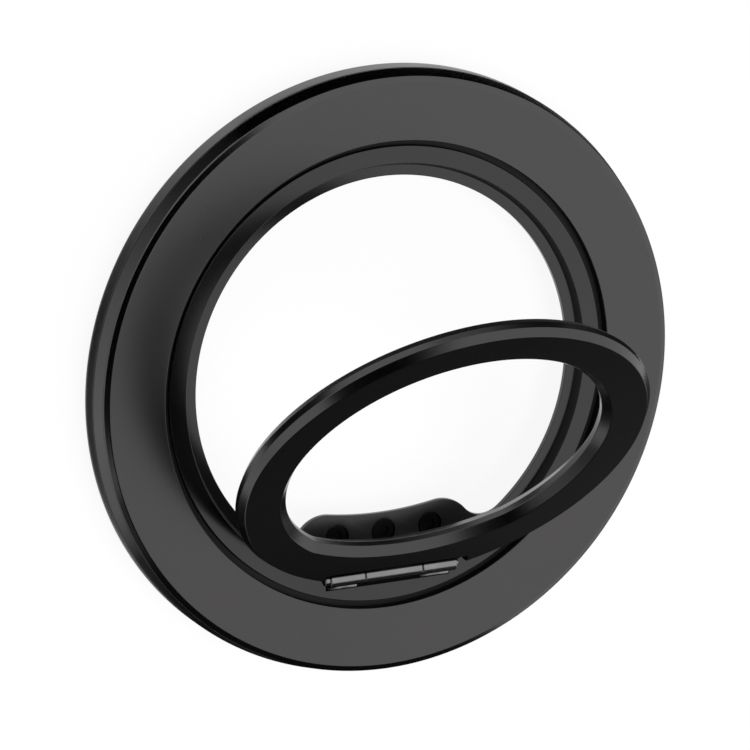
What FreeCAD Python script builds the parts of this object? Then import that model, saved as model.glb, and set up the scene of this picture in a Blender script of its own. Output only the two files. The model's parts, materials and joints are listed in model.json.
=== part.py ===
import FreeCAD, Part
import math
import os

# Magnetic ring mount for a phone: a flat magnet ring that clings to the phone's back, a carrier ring that
# turns inside it, and a finger ring that folds out of the carrier on a small knuckle hinge.
# Millimetres. +Z runs along the ring's axis, out of the flat front face. The soft pad's face, which meets
# the phone, lies on z = 0, and the hinge is on the -Y side.

# Driving dimensions
# Radial build-up from the open middle outwards
HOLE_RADIUS = 18.9          # open middle of the carrier
LIP_WIDTH = 1.0             # seat under the folded finger ring
POCKET_DRAFT = 0.35         # lean of the pocket's wall
LEDGE_WIDTH = 1.65          # carrier's visible ledge
GROOVE_WIDTH = 0.6          # dark groove between ledge and front shell
FLANGE_REACH = 0.35         # how far the carrier's flange is trapped under the front shell
SWIVEL_FIT = 0.1            # running clearance round the carrier's flange
BOSS_WALL = 0.4             # rear shell's wall between carrier and magnets
MAGNET_ROOM = 0.1           # glue gap round the magnets
MAGNET_WIDTH = 4.1
TONGUE_WALL = 0.45          # rear shell's rim that plugs into the front shell
TONGUE_FIT = 0.05
FRONT_WALL = 0.85           # front shell's side wall at the parting line

# Stack from the flat front face towards the phone
FRONT_PLATE = 0.9
YOKE_THICKNESS = 0.5
MAGNET_THICKNESS = 1.75
REAR_FLOOR = 0.4
PAD_RECESS = 0.4
PAD_PROUD = 0.1
PARTING_DEPTH = 1.85        # parting line below the front face
PARTING_GAP = 0.06
TONGUE_HEIGHT = 0.9
SIDE_DRAFT = 0.37           # lean of the front shell's side
FRONT_EDGE_CHAMFER = 0.4
REAR_EDGE_CHAMFER = 0.3

# Carrier ring and its bearing
LEDGE_DROP = 0.4            # ledge below the front face
LIP_DROP = 1.3              # lip and tab below the front face
LIP_THICKNESS = 0.6
LIP_WALL = 0.8              # thickness of the pocket's wall above the lip
FLANGE_THICKNESS = 0.8
SLIDE_RING_THICKNESS = 0.2
SLIDE_RING_ROOM = 0.06
AXIAL_PLAY = 0.05
SWIVEL_ROOM = 0.4           # room between hinge bracket and rear shell as the carrier turns

# Lobed tab on the carrier
TAB_DEPTH = 5.7             # how far the lobes stand into the open middle
TAB_LOBE_X = 5.9
TAB_LOBE_RADIUS = 3.2
TAB_DIP = 0.5               # hollow between the lobes
TAB_ROOT_RADIUS = 2.5
SCREW_PITCH = 4.75
SCREW_INSET = 3.45          # screw row from the open middle's edge
SCREW_HEAD_DIAMETER = 2.4
SCREW_HEAD_HEIGHT = 0.25
SCREW_HEAD_ROOM = 0.1
SCREW_HEAD_DEPTH = 0.1      # head below the tab's surface
SCREW_SOCKET = 1.0          # hexagon socket across flats
SCREW_SOCKET_DEPTH = 0.15
SCREW_SHANK_DIAMETER = 1.2
SCREW_SHANK_ROOM = 0.05

# Hinge
HINGE_INSET = 1.37          # hinge axis from the pocket's top edge
HINGE_HEIGHT = 0.45         # hinge axis above the front face
BARREL_DIAMETER = 1.5
PIN_DIAMETER = 0.7
PIN_FIT = 0.03
MIDDLE_KNUCKLE = 5.75
SIDE_KNUCKLE = 3.45
KNUCKLE_GAP = 0.1
PIN_HEAD_DIAMETER = 1.1
PIN_HEAD_LENGTH = 0.5
PIN_TAIL = 0.3
POST_INSET = 0.25           # bracket's posts are shorter than their knuckles
POST_REACH = 1.25           # bracket's outer face from the hinge axis
POST_THICKNESS = 1.15
POST_TOP_DROP = 0.25        # post's shoulder below the front face
POST_NECK = 0.95            # shoulder's inner edge from the hinge axis
WINDOW_ROOM = 0.15          # clearance of the posts in the carrier's window
BRACKET_PLATE = 0.7
BRACKET_END = 1.3           # plate past the screw row
BRACKET_CORNER = 0.8

# Finger ring
RING_ROOM = 0.2             # folded ring to the pocket's edge
RING_WIDTH = 4.7
RING_THICKNESS = 2.05
RING_RISE = 0.55            # folded ring's front above the hinge axis
RING_EDGE_WIDTH = 0.5       # outer bevels, across the ring's face
RING_EDGE_DEPTH = 0.7       # outer bevels, down the ring's side
RING_INNER_CHAMFER = 0.75
SWELL_REACH = 0.85          # how far the ring is wider inwards at the hinge
SWELL_HALF = 9.5            # half the span of that wider part
RING_OPEN_ANGLE = 39.5      # finger ring as it stands at rest, from folded
NOTCH_ROOM = 0.85
NOTCH_END_ROOM = 0.35
LEAF_LENGTH = 2.75          # leaf's far end from the hinge axis
LEAF_HEEL = 0.2             # leaf's near end from the hinge axis
LEAF_THICKNESS = 0.5
LEAF_INSET = 0.2            # leaf narrower than its knuckle, each side
LEAF_ROOM = 0.05
RIVET_DIAMETER = 0.7
RIVET_PITCH = 3.2
RIVET_GRIP = 0.6            # rivet's depth in the finger ring

# Magnets and pad
MAGNET_COUNT = 18
MAGNET_GAP = 0.4
PAD_ROOM = 0.1
PAD_MARGIN = 0.7            # rim of the rear shell round the pad

# Radii and heights worked out from the driving dimensions
LIP_RADIUS = HOLE_RADIUS + LIP_WIDTH
POCKET_RADIUS = LIP_RADIUS + POCKET_DRAFT
LEDGE_RADIUS = POCKET_RADIUS + LEDGE_WIDTH
FRONT_BORE = LEDGE_RADIUS + GROOVE_WIDTH
FLANGE_RADIUS = FRONT_BORE + FLANGE_REACH
BOSS_INNER = FLANGE_RADIUS + SWIVEL_FIT
BOSS_OUTER = BOSS_INNER + BOSS_WALL
MAGNET_INNER = BOSS_OUTER + MAGNET_ROOM
MAGNET_OUTER = MAGNET_INNER + MAGNET_WIDTH
TONGUE_INNER = MAGNET_OUTER + MAGNET_ROOM
TONGUE_OUTER = TONGUE_INNER + TONGUE_WALL
WALL_INNER = TONGUE_OUTER + TONGUE_FIT
OUTER_RADIUS = WALL_INNER + FRONT_WALL

BODY_THICKNESS = FRONT_PLATE + YOKE_THICKNESS + MAGNET_THICKNESS + REAR_FLOOR + PAD_RECESS
FACE_Z = PAD_PROUD + BODY_THICKNESS
PLATE_Z = FACE_Z - FRONT_PLATE
YOKE_Z = PLATE_Z - YOKE_THICKNESS
FLOOR_Z = YOKE_Z - MAGNET_THICKNESS
BACK_Z = PAD_PROUD
PARTING_Z = FACE_Z - PARTING_DEPTH
LEDGE_Z = FACE_Z - LEDGE_DROP
LIP_Z = FACE_Z - LIP_DROP
LIP_BACK_Z = LIP_Z - LIP_THICKNESS
FLANGE_TOP_Z = PLATE_Z - AXIAL_PLAY
FLANGE_BACK_Z = FLANGE_TOP_Z - FLANGE_THICKNESS
BEARING_Z = FLANGE_BACK_Z - SLIDE_RING_THICKNESS - AXIAL_PLAY

HINGE_Y = -(POCKET_RADIUS - HINGE_INSET)
HINGE_Z = FACE_Z + HINGE_HEIGHT
BARREL_RADIUS = BARREL_DIAMETER / 2
BORE_RADIUS = PIN_DIAMETER / 2 + PIN_FIT
MIDDLE_END = MIDDLE_KNUCKLE / 2
SIDE_START = MIDDLE_END + KNUCKLE_GAP
SIDE_END = SIDE_START + SIDE_KNUCKLE
POST_START = SIDE_START + POST_INSET
POST_END = SIDE_END - POST_INSET
POST_OUTER_Y = HINGE_Y - POST_REACH
POST_INNER_Y = POST_OUTER_Y + POST_THICKNESS
BRACKET_BACK_Z = LIP_BACK_Z - BRACKET_PLATE
REAR_BORE = math.hypot(POST_END, POST_OUTER_Y) + SWIVEL_ROOM
SCREW_Y = -(HOLE_RADIUS - SCREW_INSET)
TAB_SCREW_X = (-SCREW_PITCH, 0.0, SCREW_PITCH)

RING_OUTER = POCKET_RADIUS - RING_ROOM
RING_INNER = RING_OUTER - RING_WIDTH
RING_FRONT_Z = HINGE_Z + RING_RISE
RING_BACK_Z = RING_FRONT_Z - RING_THICKNESS
SWELL_Y = SWELL_REACH - RING_INNER
SWELL_RISE = -math.sqrt(RING_INNER ** 2 - SWELL_HALF ** 2) - SWELL_Y
SWELL_RADIUS = (SWELL_HALF ** 2 + SWELL_RISE ** 2) / (2 * SWELL_RISE)
NOTCH_HALF = SIDE_END + PIN_HEAD_LENGTH + NOTCH_END_ROOM
NOTCH_Y = HINGE_Y + BARREL_RADIUS + NOTCH_ROOM
LEAF_HALF = MIDDLE_END - LEAF_INSET
RIVET_Y = (NOTCH_Y + HINGE_Y + LEAF_LENGTH) / 2
RIVET_X = (-RIVET_PITCH / 2, RIVET_PITCH / 2)

PAD_INNER = BOSS_INNER
PAD_OUTER = OUTER_RADIUS - PAD_MARGIN

AXIS_Z = FreeCAD.Vector(0, 0, 1)
AXIS_X = FreeCAD.Vector(1, 0, 0)
ORIGIN = FreeCAD.Vector(0, 0, 0)
OVERCUT = 1.0               # how far a cutting shape runs past the face that it cuts


# Shape helpers
def corner_arc(before, corner, after, radius):
    """Start, middle and end of the arc that rounds a corner between two straight runs."""
    back = (before - corner).normalize()
    ahead = (after - corner).normalize()
    half = back.getAngle(ahead) / 2
    reach = radius / math.tan(half)
    middle = corner + (back + ahead).normalize() * (radius / math.sin(half) - radius)
    return corner + back * reach, middle, corner + ahead * reach


def rounded_face(corners):
    """Flat face through (point, radius) corners, each corner sharp or rounded by its radius."""
    count = len(corners)
    edges = []
    stations = []
    for i, (point, radius) in enumerate(corners):
        before = corners[i - 1][0]
        after = corners[(i + 1) % count][0]
        if radius:
            stations.append(corner_arc(before, point, after, radius))
        else:
            stations.append((point, None, point))
    for i, (start, middle, end) in enumerate(stations):
        if middle:
            edges.append(Part.Arc(start, middle, end).toShape())
        edges.append(Part.makeLine(end, stations[(i + 1) % count][0]))
    return Part.Face(Part.Wire(edges))


def turned(profile):
    """Ring turned about the Z axis from (radius, height) corners."""
    corners = [(FreeCAD.Vector(r, 0, z), 0) for r, z in profile]
    return rounded_face(corners).revolve(ORIGIN, AXIS_Z, 360)


def plain_ring(inner, outer, low, high):
    """Ring of rectangular section."""
    return turned([(inner, low), (outer, low), (outer, high), (inner, high)])


def rod(start_x, end_x, radius):
    """Round bar along X on the hinge axis."""
    return Part.makeCylinder(radius, end_x - start_x, FreeCAD.Vector(start_x, HINGE_Y, HINGE_Z), AXIS_X)


def across_hinge(section, start_x, end_x):
    """Section in the YZ plane, as (y, z) corners, drawn out along X."""
    corners = [(FreeCAD.Vector(start_x, y, z), 0) for y, z in section]
    return rounded_face(corners).extrude(AXIS_X * (end_x - start_x))


def block(low, high):
    """Square block between two corners."""
    size = high - low
    return Part.makeBox(size.x, size.y, size.z, low)


def opened(shape):
    """A piece of the finger ring, turned from folded to where it stands at rest."""
    shape.rotate(FreeCAD.Vector(0, HINGE_Y, HINGE_Z), AXIS_X, RING_OPEN_ANGLE)
    return shape


# Housing
def front_shell():
    """Flat face plate with a leaning side wall, open towards the phone."""
    return turned([
        (FRONT_BORE, PLATE_Z),
        (FRONT_BORE, FACE_Z),
        (OUTER_RADIUS - SIDE_DRAFT - FRONT_EDGE_CHAMFER, FACE_Z),
        (OUTER_RADIUS - SIDE_DRAFT, FACE_Z - FRONT_EDGE_CHAMFER),
        (OUTER_RADIUS, PARTING_Z),
        (WALL_INNER, PARTING_Z),
        (WALL_INNER, PLATE_Z),
    ])


def rear_shell():
    """Tray for the magnets, with the carrier's bearing seat inside and the pad's recess behind."""
    rim = PARTING_Z - PARTING_GAP
    recess = BACK_Z + PAD_RECESS
    return turned([
        (REAR_BORE, BEARING_Z),
        (REAR_BORE, BACK_Z),
        (PAD_INNER - PAD_ROOM, BACK_Z),
        (PAD_INNER - PAD_ROOM, recess),
        (PAD_OUTER + PAD_ROOM, recess),
        (PAD_OUTER + PAD_ROOM, BACK_Z),
        (OUTER_RADIUS - REAR_EDGE_CHAMFER, BACK_Z),
        (OUTER_RADIUS, BACK_Z + REAR_EDGE_CHAMFER),
        (OUTER_RADIUS, rim),
        (TONGUE_OUTER, rim),
        (TONGUE_OUTER, rim + TONGUE_HEIGHT),
        (TONGUE_INNER, rim + TONGUE_HEIGHT),
        (TONGUE_INNER, FLOOR_Z),
        (BOSS_OUTER, FLOOR_Z),
        (BOSS_OUTER, PLATE_Z),
        (BOSS_INNER, PLATE_Z),
        (BOSS_INNER, BEARING_Z),
    ])


def phone_pad():
    """Soft ring that meets the phone."""
    return plain_ring(PAD_INNER, PAD_OUTER, 0, BACK_Z + PAD_RECESS)


def magnet(index):
    """One arc-shaped magnet of the ring."""
    step = 360 / MAGNET_COUNT
    gap = math.degrees(MAGNET_GAP / MAGNET_INNER)
    corners = [
        (FreeCAD.Vector(r, 0, z), 0)
        for r, z in ((MAGNET_INNER, FLOOR_Z), (MAGNET_OUTER, FLOOR_Z), (MAGNET_OUTER, YOKE_Z), (MAGNET_INNER, YOKE_Z))
    ]
    segment = rounded_face(corners).revolve(ORIGIN, AXIS_Z, step - gap)
    segment.rotate(ORIGIN, AXIS_Z, index * step + gap / 2)
    return segment


# Carrier
def tangent_centre(radius_a, centre_b, radius_b):
    """Point at radius_a from the origin and radius_b from centre_b, on the side away from the Y axis."""
    span = centre_b.Length
    along = (radius_a ** 2 - radius_b ** 2 + span ** 2) / (2 * span)
    off = math.sqrt(radius_a ** 2 - along ** 2)
    direction = centre_b / span
    return direction * along + FreeCAD.Vector(-direction.y, direction.x, 0) * off


def arc_about(centre, radius, start, end):
    """Short arc about a centre from start to end."""
    middle = ((start - centre).normalize() + (end - centre).normalize()).normalize() * radius + centre
    return Part.Arc(start, middle, end).toShape()


def mirrored(point):
    """The same point across the YZ plane."""
    return FreeCAD.Vector(-point.x, point.y, point.z)


def tab_plate():
    """Tab with two lobes and a hollow between them, blended into the open middle's edge."""
    lobe = FreeCAD.Vector(TAB_LOBE_X, -(HOLE_RADIUS - TAB_DEPTH + TAB_LOBE_RADIUS), 0)
    fall = TAB_LOBE_RADIUS - TAB_DIP
    dip_radius = (TAB_LOBE_X ** 2 + fall ** 2 - TAB_LOBE_RADIUS ** 2) / (2 * TAB_DIP)
    dip = FreeCAD.Vector(0, lobe.y + fall + dip_radius, 0)
    root = tangent_centre(HOLE_RADIUS - TAB_ROOT_RADIUS, lobe, TAB_LOBE_RADIUS + TAB_ROOT_RADIUS)
    dip_end = lobe + (dip - lobe).normalize() * TAB_LOBE_RADIUS
    lobe_end = lobe + (root - lobe).normalize() * TAB_LOBE_RADIUS
    edge_end = root * (HOLE_RADIUS / root.Length)
    under_lip = root * ((HOLE_RADIUS + LIP_WIDTH / 2) / root.Length)
    right = [
        Part.makeLine(under_lip, edge_end),
        arc_about(root, TAB_ROOT_RADIUS, edge_end, lobe_end),
        arc_about(lobe, TAB_LOBE_RADIUS, lobe_end, dip_end),
    ]
    left = [
        arc_about(mirrored(lobe), TAB_LOBE_RADIUS, mirrored(dip_end), mirrored(lobe_end)),
        arc_about(mirrored(root), TAB_ROOT_RADIUS, mirrored(lobe_end), mirrored(edge_end)),
        Part.makeLine(mirrored(edge_end), mirrored(under_lip)),
    ]
    hollow = arc_about(dip, dip_radius, dip_end, mirrored(dip_end))
    closing = arc_about(ORIGIN, under_lip.Length, mirrored(under_lip), under_lip)
    face = Part.Face(Part.Wire(right + [hollow] + left + [closing]))
    face.translate(AXIS_Z * LIP_BACK_Z)
    return face.extrude(AXIS_Z * LIP_THICKNESS)


def screw_row(radius, low, high):
    """Upright cylinders at the three screw places."""
    return [
        Part.makeCylinder(radius, high - low, FreeCAD.Vector(x, SCREW_Y, low))
        for x in TAB_SCREW_X
    ]


def carrier_ring():
    """Turning ring: flange, ledge, pocket and lip, with the tab and the hinge's window."""
    wall = LIP_RADIUS + LIP_WALL
    ring = turned([
        (LEDGE_RADIUS, LEDGE_Z),
        (POCKET_RADIUS, LEDGE_Z),
        (LIP_RADIUS, LIP_Z),
        (HOLE_RADIUS, LIP_Z),
        (HOLE_RADIUS, LIP_BACK_Z),
        (wall, LIP_BACK_Z),
        (wall, FLANGE_BACK_Z),
        (FLANGE_RADIUS, FLANGE_BACK_Z),
        (FLANGE_RADIUS, FLANGE_TOP_Z),
        (LEDGE_RADIUS, FLANGE_TOP_Z),
    ])
    window = block(
        FreeCAD.Vector(-POST_END - WINDOW_ROOM, POST_OUTER_Y - WINDOW_ROOM, LIP_BACK_Z - OVERCUT),
        FreeCAD.Vector(POST_END + WINDOW_ROOM, POST_INNER_Y + WINDOW_ROOM, LEDGE_Z + OVERCUT),
    )
    seat = LIP_Z - SCREW_HEAD_DEPTH - SCREW_HEAD_HEIGHT
    counterbores = screw_row(SCREW_HEAD_DIAMETER / 2 + SCREW_HEAD_ROOM, seat, LIP_Z + OVERCUT)
    holes = screw_row(SCREW_SHANK_DIAMETER / 2 + SCREW_SHANK_ROOM, LIP_BACK_Z - OVERCUT, seat + OVERCUT)
    return ring.fuse(tab_plate()).cut([window] + counterbores + holes).removeSplitter()


def slide_ring():
    """Low-friction ring between the carrier's flange and the rear shell's seat."""
    high = FLANGE_BACK_Z
    return plain_ring(REAR_BORE + SLIDE_RING_ROOM, FLANGE_RADIUS - SLIDE_RING_ROOM, high - SLIDE_RING_THICKNESS, high)


# Hinge
def hinge_bracket():
    """Plate under the tab whose two posts come up through the window and carry the side knuckles."""
    shoulder = FACE_Z - POST_TOP_DROP
    neck = HINGE_Y - POST_NECK
    post = [
        (POST_OUTER_Y, BRACKET_BACK_Z),
        (POST_OUTER_Y, shoulder),
        (neck, shoulder),
        (HINGE_Y - BARREL_RADIUS, HINGE_Z),
        (HINGE_Y, HINGE_Z),
        (HINGE_Y, HINGE_Z - BARREL_RADIUS),
        (POST_INNER_Y, LIP_Z),
        (POST_INNER_Y, BRACKET_BACK_Z),
    ]
    far = SCREW_Y + BRACKET_END
    plate = rounded_face([
        (FreeCAD.Vector(-POST_END, POST_OUTER_Y, BRACKET_BACK_Z), 0),
        (FreeCAD.Vector(POST_END, POST_OUTER_Y, BRACKET_BACK_Z), 0),
        (FreeCAD.Vector(POST_END, far, BRACKET_BACK_Z), BRACKET_CORNER),
        (FreeCAD.Vector(-POST_END, far, BRACKET_BACK_Z), BRACKET_CORNER),
    ]).extrude(AXIS_Z * BRACKET_PLATE)
    pieces = []
    for side in (-1, 1):
        start, end = sorted((side * POST_START, side * POST_END))
        pieces.append(across_hinge(post, start, end))
        start, end = sorted((side * SIDE_START, side * SIDE_END))
        pieces.append(rod(start, end, BARREL_RADIUS))
    cutters = screw_row(SCREW_SHANK_DIAMETER / 2 + SCREW_SHANK_ROOM, BRACKET_BACK_Z - OVERCUT, LIP_BACK_Z + OVERCUT)
    cutters.append(rod(-SIDE_END - OVERCUT, SIDE_END + OVERCUT, BORE_RADIUS))
    return plate.fuse(pieces).cut(cutters).removeSplitter()


def hinge_pin():
    """Pin through all three knuckles, headed at one end."""
    shank = rod(-SIDE_END, SIDE_END + PIN_TAIL, PIN_DIAMETER / 2)
    head = rod(-SIDE_END - PIN_HEAD_LENGTH, -SIDE_END, PIN_HEAD_DIAMETER / 2)
    return shank.fuse(head).removeSplitter()


def hinge_screws():
    """Three screws that hold the tab to the bracket, as one group."""
    top = LIP_Z - SCREW_HEAD_DEPTH
    seat = top - SCREW_HEAD_HEIGHT
    heads = screw_row(SCREW_HEAD_DIAMETER / 2, seat, top)
    shanks = screw_row(SCREW_SHANK_DIAMETER / 2, BRACKET_BACK_Z, seat)
    corner = SCREW_SOCKET / math.sqrt(3)
    screws = []
    for x, head, shank in zip(TAB_SCREW_X, heads, shanks):
        hexagon = [
            (FreeCAD.Vector(x + corner * math.cos(turn), SCREW_Y + corner * math.sin(turn), top - SCREW_SOCKET_DEPTH), 0)
            for turn in (math.radians(60 * i) for i in range(6))
        ]
        socket = rounded_face(hexagon).extrude(AXIS_Z * OVERCUT)
        screws.append(head.fuse(shank).cut(socket).removeSplitter())
    return Part.makeCompound(screws)


# Finger ring
def leaf_block(half, far_y, low_z, high_z):
    """Flat block over the finger ring's back at the hinge, from the leaf's heel to far_y."""
    return block(FreeCAD.Vector(-half, HINGE_Y + LEAF_HEEL, low_z), FreeCAD.Vector(half, far_y, high_z))


def flared_plug(radius, centre_y):
    """Turned solid of the finger ring's hole, flared to both faces by the chamfers."""
    mouth = radius + RING_INNER_CHAMFER + OVERCUT
    plug = turned([
        (0, RING_BACK_Z - OVERCUT),
        (mouth, RING_BACK_Z - OVERCUT),
        (radius, RING_BACK_Z + RING_INNER_CHAMFER),
        (radius, RING_FRONT_Z - RING_INNER_CHAMFER),
        (mouth, RING_FRONT_Z + OVERCUT),
        (0, RING_FRONT_Z + OVERCUT),
    ])
    plug.translate(FreeCAD.Vector(0, centre_y, 0))
    return plug


def finger_ring():
    """Chamfered ring, wider at the hinge, notched round the knuckles and recessed behind for the leaf."""
    disc = turned([
        (0, RING_FRONT_Z),
        (RING_OUTER - RING_EDGE_WIDTH, RING_FRONT_Z),
        (RING_OUTER, RING_FRONT_Z - RING_EDGE_DEPTH),
        (RING_OUTER, RING_BACK_Z + RING_EDGE_DEPTH),
        (RING_OUTER - RING_EDGE_WIDTH, RING_BACK_Z),
        (0, RING_BACK_Z),
    ])
    swell = flared_plug(SWELL_RADIUS, SWELL_Y + SWELL_RADIUS)
    ring = disc.cut(flared_plug(RING_INNER, 0).common(swell))
    notch = block(
        FreeCAD.Vector(-NOTCH_HALF, -RING_OUTER - OVERCUT, RING_BACK_Z - OVERCUT),
        FreeCAD.Vector(NOTCH_HALF, NOTCH_Y, RING_FRONT_Z + OVERCUT),
    )
    leaf_end = HINGE_Y + LEAF_LENGTH + LEAF_ROOM
    recess = leaf_block(LEAF_HALF + LEAF_ROOM, leaf_end, RING_BACK_Z - OVERCUT, RING_BACK_Z + LEAF_THICKNESS)
    holes = rivets_at(RIVET_DIAMETER / 2 + LEAF_ROOM)
    return opened(ring.cut([notch, recess] + holes).removeSplitter())


def rivets_at(radius):
    """Upright cylinders through the leaf into the finger ring, before it is turned open."""
    height = LEAF_THICKNESS + RIVET_GRIP
    return [
        Part.makeCylinder(radius, height, FreeCAD.Vector(x, RIVET_Y, RING_BACK_Z))
        for x in RIVET_X
    ]


def ring_leaf():
    """Middle knuckle and the leaf that is let into the finger ring's back."""
    plate = leaf_block(LEAF_HALF, HINGE_Y + LEAF_LENGTH, RING_BACK_Z, RING_BACK_Z + LEAF_THICKNESS)
    heel = across_hinge([
        (HINGE_Y + LEAF_HEEL, RING_BACK_Z),
        (NOTCH_Y, RING_BACK_Z),
        (NOTCH_Y, RING_BACK_Z + LEAF_THICKNESS),
        (HINGE_Y + BARREL_RADIUS, HINGE_Z),
        (HINGE_Y, HINGE_Z),
        (HINGE_Y, HINGE_Z - BARREL_RADIUS),
    ], -LEAF_HALF, LEAF_HALF)
    barrel = rod(-MIDDLE_END, MIDDLE_END, BARREL_RADIUS)
    bore = rod(-MIDDLE_END - OVERCUT, MIDDLE_END + OVERCUT, BORE_RADIUS)
    holes = rivets_at(RIVET_DIAMETER / 2 + LEAF_ROOM)
    return opened(plate.fuse([heel, barrel]).cut([bore] + holes).removeSplitter())


def leaf_rivets():
    """Two rivets that hold the leaf in the finger ring, as one group."""
    return opened(Part.makeCompound(rivets_at(RIVET_DIAMETER / 2)))


def write(node, shape):
    """One STEP file for one piece."""
    shape.exportStep(f"parts/{node}.step")


def main():
    os.makedirs("parts", exist_ok=True)
    write("front_shell", front_shell())
    write("rear_shell", rear_shell())
    write("phone_pad", phone_pad())
    write("yoke_ring", plain_ring(MAGNET_INNER, MAGNET_OUTER, YOKE_Z, PLATE_Z))
    for index in range(MAGNET_COUNT):
        write(f"magnet_{index + 1:02d}", magnet(index))
    write("carrier_ring", carrier_ring())
    write("slide_ring", slide_ring())
    write("hinge_bracket", hinge_bracket())
    write("hinge_pin", hinge_pin())
    write("hinge_screws", hinge_screws())
    write("finger_ring", finger_ring())
    write("ring_leaf", ring_leaf())
    write("leaf_rivets", leaf_rivets())


main()
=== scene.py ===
"""Ring mount for a phone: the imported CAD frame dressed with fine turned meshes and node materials."""
import json
import math
from typing import NamedTuple

import bmesh
import bpy
from mathutils import Matrix, Vector


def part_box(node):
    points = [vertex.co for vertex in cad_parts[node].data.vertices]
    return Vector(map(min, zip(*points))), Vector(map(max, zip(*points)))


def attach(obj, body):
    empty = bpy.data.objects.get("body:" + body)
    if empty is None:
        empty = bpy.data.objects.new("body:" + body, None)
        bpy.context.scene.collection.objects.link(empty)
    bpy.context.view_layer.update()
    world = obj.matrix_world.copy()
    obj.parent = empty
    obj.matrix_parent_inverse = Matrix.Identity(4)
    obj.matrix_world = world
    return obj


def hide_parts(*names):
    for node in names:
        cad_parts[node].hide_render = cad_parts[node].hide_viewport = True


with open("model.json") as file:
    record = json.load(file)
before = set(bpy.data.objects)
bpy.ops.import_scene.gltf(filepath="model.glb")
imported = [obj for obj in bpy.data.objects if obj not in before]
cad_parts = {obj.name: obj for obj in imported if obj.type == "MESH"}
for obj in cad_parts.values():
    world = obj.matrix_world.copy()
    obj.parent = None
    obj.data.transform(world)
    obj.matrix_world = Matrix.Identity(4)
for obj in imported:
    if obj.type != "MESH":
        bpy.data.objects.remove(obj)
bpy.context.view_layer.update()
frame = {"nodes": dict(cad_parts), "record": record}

bl_info = {
    "name": "Ring Mount Dressing",
    "version": (1, 0, 0),
    "blender": (4, 5, 0),
    "location": "View3D > Sidebar > Ring Mount",
    "description": "Builds the magnet ring, the turning carrier and the finger ring on the packed frame",
    "category": "Object",
}

MM = 0.001

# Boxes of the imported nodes, and the hinge
SHELL_LOW, SHELL_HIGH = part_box("front_shell")
REAR_LOW, REAR_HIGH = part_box("rear_shell")
PAD_LOW, PAD_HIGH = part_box("phone_pad")
CARRIER_LOW, CARRIER_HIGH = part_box("carrier_ring")
BRACKET_LOW, BRACKET_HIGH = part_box("hinge_bracket")
PIN_LOW, PIN_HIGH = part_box("hinge_pin")
SCREWS_LOW, SCREWS_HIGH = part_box("hinge_screws")
HINGE = next(j for j in frame["record"]["behaviour"]["joints"] if j["name"] == "ring_hinge")
HINGE_POINT = Vector(HINGE["pos_m"])
OPEN_ANGLE = math.radians(-HINGE["range_deg"][0])

# Places: a piece's Z along X, the same on the hinge axis, and the turn from folded to the rest pose
Z_ALONG_X = Matrix(((0, 0, 1, 0), (1, 0, 0, 0), (0, 1, 0, 0), (0, 0, 0, 1)))
TO_HINGE = Matrix.Translation(HINGE_POINT)
ON_HINGE = TO_HINGE @ Z_ALONG_X
OPENED = TO_HINGE @ Matrix.Rotation(OPEN_ANGLE, 4, "X") @ Matrix.Translation(-HINGE_POINT)

# Fits and walls that follow the source
CLOSE_FIT = 0.05 * MM
TURNING_FIT = 0.1 * MM
FLANGE_ROOM = CARRIER_HIGH[0] + TURNING_FIT
TONGUE_WALL = 0.45 * MM
TONGUE_HEIGHT = 0.9 * MM
BOSS_WALL = 0.4 * MM
SOCKET_DEPTH = 0.15 * MM
SCREW_COUNT = 3
RIVET_COUNT = 2

# Roundings of edges
UNDERCUT_EDGE = 0.03 * MM
CRISP_EDGE = 0.04 * MM
PAD_SEAT_EDGE = 0.05 * MM
FINE_EDGE = 0.06 * MM
KNUCKLE_EDGE = 0.07 * MM
SOFT_EDGE = 0.08 * MM
ROUND_EDGE = 0.1 * MM
DOMED_EDGE = 0.12 * MM
FULL_EDGE = 0.15 * MM

# Margins that tell the faces of a second finish from their neighbours
FLAT_SKIN = 0.005 * MM
SKIN = 0.01 * MM
WALL_SKIN = 0.02 * MM
POCKET_SKIN = 0.03 * MM
RIM_MARGIN = 0.1 * MM
TAB_MARGIN = 0.15 * MM
UPRIGHT = 0.5

# Fineness of the meshes
ROUNDING_STEPS = 5
ROUNDING_HOLD = 0.02 * MM
TURN_STEPS = 288
RING_STEPS = 360
BAR_STEPS = 64
BORE_STEPS = 48
RIVET_STEPS = 32
LOBE_POINTS = 28
ROOT_POINTS = 16
CLOSING_POINTS = 48
CARD_STEPS = 16
SHARP_ANGLE = math.radians(32)

# How far a cutter runs past the piece that it cuts
OVERCUT = 1.0 * MM


# Sizes and colours that a user would change
def length(name, description, default):
    """A size in metres, shown in the scene's unit."""
    return bpy.props.FloatProperty(
        name=name, description=description, default=default, min=0.0, precision=5, unit="LENGTH")


def colour(name, description, default):
    """A linear colour."""
    return bpy.props.FloatVectorProperty(
        name=name, description=description, default=default, size=3, min=0.0, max=1.0, subtype="COLOR")


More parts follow.
